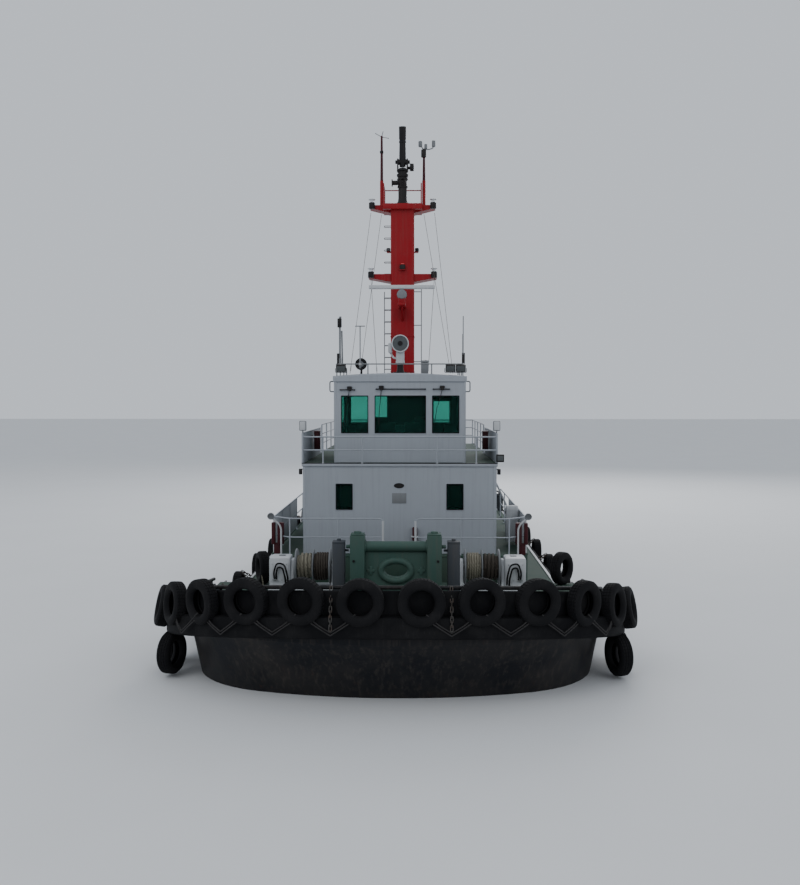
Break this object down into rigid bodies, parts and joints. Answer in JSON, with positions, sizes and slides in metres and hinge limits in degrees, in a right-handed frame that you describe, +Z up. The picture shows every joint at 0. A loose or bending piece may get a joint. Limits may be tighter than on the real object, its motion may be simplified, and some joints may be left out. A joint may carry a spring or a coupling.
{
  "type": "harbour tugboat",
  "caption": "Blunt-bowed harbour tug with a tyre-hung bow fender, red mast, fire monitor and steerable stern drives.",
  "frame": {"origin": "amidships on the centreline at the waterline", "axes": "+X forward to the bow, +Y to port, +Z up"},
  "size_m": [33.1501, 11.2034, 19.054],
  "materials": {
    "hull_paint": "worn black hull paint",
    "bottom_paint": "dull red-brown antifouling",
    "fender_rubber": "weathered black rubber",
    "tyre_rubber": "old scuffed tyre",
    "white_paint": "satin white paint, rain streaks",
    "deck_green": "matt green deck paint",
    "gear_green": "satin grey-green paint",
    "grey_paint": "satin grey paint",
    "mast_red": "gloss red paint",
    "dark_metal": "dark painted casting",
    "glass": "green tinted glass",
    "rope": "pale worn rope on a drum",
    "bronze": "cast bronze"
  },
  "bodies": {
    "root": {"hull": "hull_paint", "skeg": "bottom_paint", "bow_bulwark": "hull_paint", "stern_bulwark": "hull_paint", "bow_fender": "fender_rubber", "port_fender": "fender_rubber", "starboard_fender": "fender_rubber", "stern_fender": "fender_rubber", "trunk": "deck_green", "deckhouse": "white_paint", "deckhouse_front_glass": "glass", "deckhouse_port_glass": "glass", "deckhouse_starboard_glass": "glass", "bridge_deck": "deck_green", "wheelhouse": "white_paint", "wheelhouse_roof": "white_paint", "wheelhouse_front_glass": "glass", "wheelhouse_rear_glass": "glass", "wheelhouse_port_glass": "glass", "wheelhouse_starboard_glass": "glass", "bow_bitt": "gear_green", "mast": "mast_red", "radar_gearcase": "grey_paint", "monitor_stand": "dark_metal", "searchlight_stand": "grey_paint", "roof_rail": "white_paint", "bridge_rail": "white_paint", "aft_bitt": "gear_green", "hook_post": "grey_paint", "capstan_base": "grey_paint", "port_spare_tyre": "tyre_rubber", "port_wing_bulwark": "white_paint", "port_bow_post": "grey_paint", "port_winch_frame": "white_paint", "port_deck_rail": "white_paint", "port_funnel": "mast_red", "port_liferaft": "white_paint", "starboard_spare_tyre": "tyre_rubber", "starboard_wing_bulwark": "white_paint", "starboard_bow_post": "grey_paint", "starboard_winch_frame": "white_paint", "starboard_deck_rail": "white_paint", "starboard_funnel": "mast_red", "starboard_liferaft": "white_paint"},
    "radar": {"radar_scanner": "white_paint"},
    "monitor_body": {"monitor_body": "dark_metal"},
    "monitor_barrel": {"monitor_barrel": "dark_metal"},
    "searchlight": {"searchlight": "grey_paint"},
    "towing_hook": {"towing_hook": "dark_metal"},
    "capstan": {"capstan": "gear_green"},
    "port_drive": {"port_drive": "bottom_paint"},
    "port_propeller": {"port_propeller": "bronze"},
    "port_winch_drum": {"port_winch_drum": "rope"},
    "wheelhouse_port_door": {"wheelhouse_port_door": "white_paint"},
    "deckhouse_port_door": {"deckhouse_port_door": "white_paint"},
    "starboard_drive": {"starboard_drive": "bottom_paint"},
    "starboard_propeller": {"starboard_propeller": "bronze"},
    "starboard_winch_drum": {"starboard_winch_drum": "rope"},
    "wheelhouse_starboard_door": {"wheelhouse_starboard_door": "white_paint"},
    "deckhouse_starboard_door": {"deckhouse_starboard_door": "white_paint"}
  },
  "joints": [
    {"name": "port_drive_steer", "type": "hinge", "parent": "root", "child": "port_drive", "pos_m": [-12.4, 2.3, -2.7], "axis": [0, 0, 1], "continuous": true},
    {"name": "port_propeller_spin", "type": "hinge", "parent": "port_drive", "child": "port_propeller", "pos_m": [-13.08, 2.3, -2.7], "axis": [1, 0, 0], "continuous": true},
    {"name": "port_winch_turn", "type": "hinge", "parent": "root", "child": "port_winch_drum", "pos_m": [10.4, 2.15, 1.9], "axis": [0, 1, 0], "continuous": true},
    {"name": "wheelhouse_port_door_swing", "type": "hinge", "parent": "root", "child": "wheelhouse_port_door", "pos_m": [4.9, 1.89, 5.44], "axis": [0, 0, -1], "range_deg": [0, 90]},
    {"name": "deckhouse_port_door_swing", "type": "hinge", "parent": "root", "child": "deckhouse_port_door", "pos_m": [2.6, 2.74, 2.95], "axis": [0, 0, -1], "range_deg": [0, 90]},
    {"name": "starboard_drive_steer", "type": "hinge", "parent": "root", "child": "starboard_drive", "pos_m": [-12.4, -2.3, -2.7], "axis": [0, 0, 1], "continuous": true},
    {"name": "starboard_propeller_spin", "type": "hinge", "parent": "starboard_drive", "child": "starboard_propeller", "pos_m": [-13.08, -2.3, -2.7], "axis": [1, 0, 0], "continuous": true},
    {"name": "starboard_winch_turn", "type": "hinge", "parent": "root", "child": "starboard_winch_drum", "pos_m": [10.4, -2.15, 1.9], "axis": [0, 1, 0], "continuous": true},
    {"name": "wheelhouse_starboard_door_swing", "type": "hinge", "parent": "root", "child": "wheelhouse_starboard_door", "pos_m": [4.9, -1.89, 5.44], "axis": [0, 0, 1], "range_deg": [0, 90]},
    {"name": "deckhouse_starboard_door_swing", "type": "hinge", "parent": "root", "child": "deckhouse_starboard_door", "pos_m": [2.6, -2.74, 2.95], "axis": [0, 0, 1], "range_deg": [0, 90]},
    {"name": "radar_spin", "type": "hinge", "parent": "root", "child": "radar", "pos_m": [4.08, 0, 9.62], "axis": [0, 0, 1], "continuous": true},
    {"name": "monitor_pan", "type": "hinge", "parent": "root", "child": "monitor_body", "pos_m": [2.75, 0, 13.45], "axis": [0, 0, 1], "range_deg": [-110, 110]},
    {"name": "monitor_tilt", "type": "hinge", "parent": "monitor_body", "child": "monitor_barrel", "pos_m": [2.75, 0, 13.9], "axis": [0, 1, 0], "range_deg": [-6, 88]},
    {"name": "searchlight_pan", "type": "hinge", "parent": "root", "child": "searchlight", "pos_m": [6.75, 0, 7.21], "axis": [0, 0, 1], "range_deg": [-170, 170]},
    {"name": "towing_hook_swing", "type": "hinge", "parent": "root", "child": "towing_hook", "pos_m": [-9, 0, 1.55], "axis": [0, 0, 1], "range_deg": [-85, 85]},
    {"name": "capstan_turn", "type": "hinge", "parent": "root", "child": "capstan", "pos_m": [-13.2, 0, 1.2], "axis": [0, 0, 1], "continuous": true}
  ]
}
